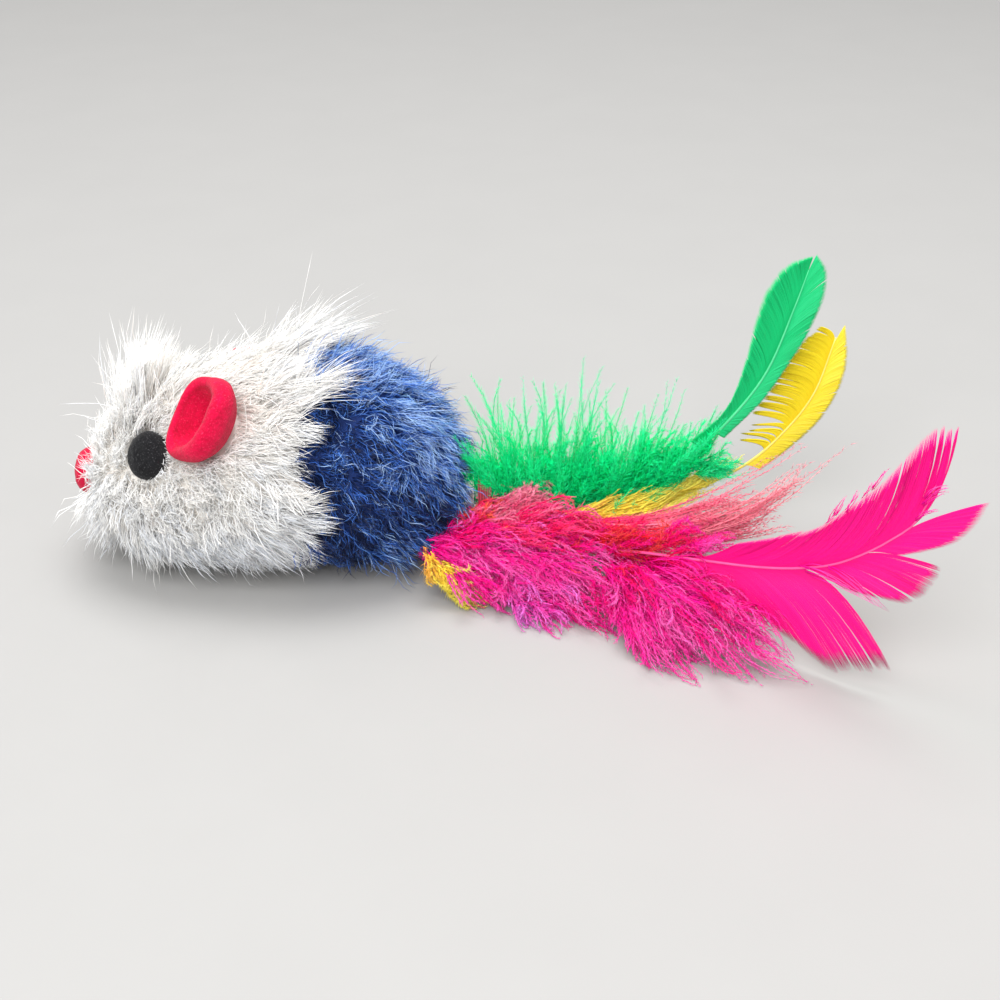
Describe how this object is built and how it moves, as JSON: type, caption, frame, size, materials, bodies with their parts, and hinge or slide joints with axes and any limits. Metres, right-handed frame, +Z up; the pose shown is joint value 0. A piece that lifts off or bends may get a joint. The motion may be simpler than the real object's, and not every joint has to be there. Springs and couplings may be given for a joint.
{
  "type": "cat toy",
  "caption": "Fur-covered mouse cat toy with felt ears, eyes and nose, a rattle core, and a tail of long curved dyed feathers with fluffy down.",
  "frame": {"origin": "middle of the flat patch under the belly that the mouse rests on", "axes": "+X from the nose to the tail, +Y to the mouse's right side, +Z up"},
  "size_m": [0.1186, 0.0637, 0.047],
  "materials": {
    "white_fur": "long soft pile, off-white",
    "blue_fur": "long soft pile, mid blue",
    "pink_felt": "matt wool felt, hot pink",
    "black_felt": "matt wool felt, black",
    "capsule": "plain moulded plastic",
    "bead": "smooth moulded plastic",
    "thread": "wound sewing thread",
    "green_feather": "dyed feather, soft sheen",
    "yellow_feather": "dyed feather, soft sheen",
    "pink_feather": "dyed feather, soft sheen",
    "pink_down": "dyed down, matt",
    "pale_pink_down": "dyed down, matt",
    "violet_down": "dyed down, matt",
    "yellow_down": "dyed down, matt"
  },
  "bodies": {
    "mouse": {"front_cover": "white_fur", "rear_cover": "blue_fur", "core_left_shell": "capsule", "core_right_shell": "capsule", "left_eye": "black_felt", "right_eye": "black_felt", "left_ear": "pink_felt", "right_ear": "pink_felt", "nose": "pink_felt", "tail_plug": "capsule", "tail_binding": "thread", "green_quill": "green_feather", "yellow_quill": "yellow_feather", "pink_quill": "pink_feather", "pink_plume_upper": "pink_down", "pink_plume_far": "pale_pink_down", "yellow_plume": "yellow_down", "pink_plume_near": "pink_down", "pink_plume_under": "violet_down", "pink_plume_long": "pale_pink_down"},
    "green_feather": {"green_feather": "green_feather"},
    "yellow_feather": {"yellow_feather": "yellow_feather"},
    "pink_feather": {"pink_feather": "pink_feather"},
    "rattle_bead_1": {"rattle_bead_1": "bead"},
    "rattle_bead_2": {"rattle_bead_2": "bead"},
    "rattle_bead_3": {"rattle_bead_3": "bead"}
  },
  "joints": [
    {"name": "green_feather_flex", "type": "hinge", "parent": "mouse", "child": "green_feather", "pos_m": [0.04, -0.0015, 0.0094], "axis": [0, -1, 0], "range_deg": [-8, 12], "stiffness_Nm_per_rad": 0.0045},
    {"name": "yellow_feather_flex", "type": "hinge", "parent": "mouse", "child": "yellow_feather", "pos_m": [0.04, 0.0027, 0.0074], "axis": [0, -1, 0], "range_deg": [-3, 12], "stiffness_Nm_per_rad": 0.0045},
    {"name": "pink_feather_flex", "type": "hinge", "parent": "mouse", "child": "pink_feather", "pos_m": [0.041, -0.0075, 0.0064], "axis": [-0.5621, -0.8271, 0], "range_deg": [-1, 14], "stiffness_Nm_per_rad": 0.0045},
    {"name": "rattle_bead_1_roll", "type": "slide", "parent": "mouse", "child": "rattle_bead_1", "axis": [1, 0, 0], "range_m": [-0.0045, 0.0045]},
    {"name": "rattle_bead_2_roll", "type": "slide", "parent": "mouse", "child": "rattle_bead_2", "axis": [1, 0, 0], "range_m": [-0.0045, 0.0045]},
    {"name": "rattle_bead_3_roll", "type": "slide", "parent": "mouse", "child": "rattle_bead_3", "axis": [1, 0, 0], "range_m": [-0.0045, 0.0045]}
  ]
}
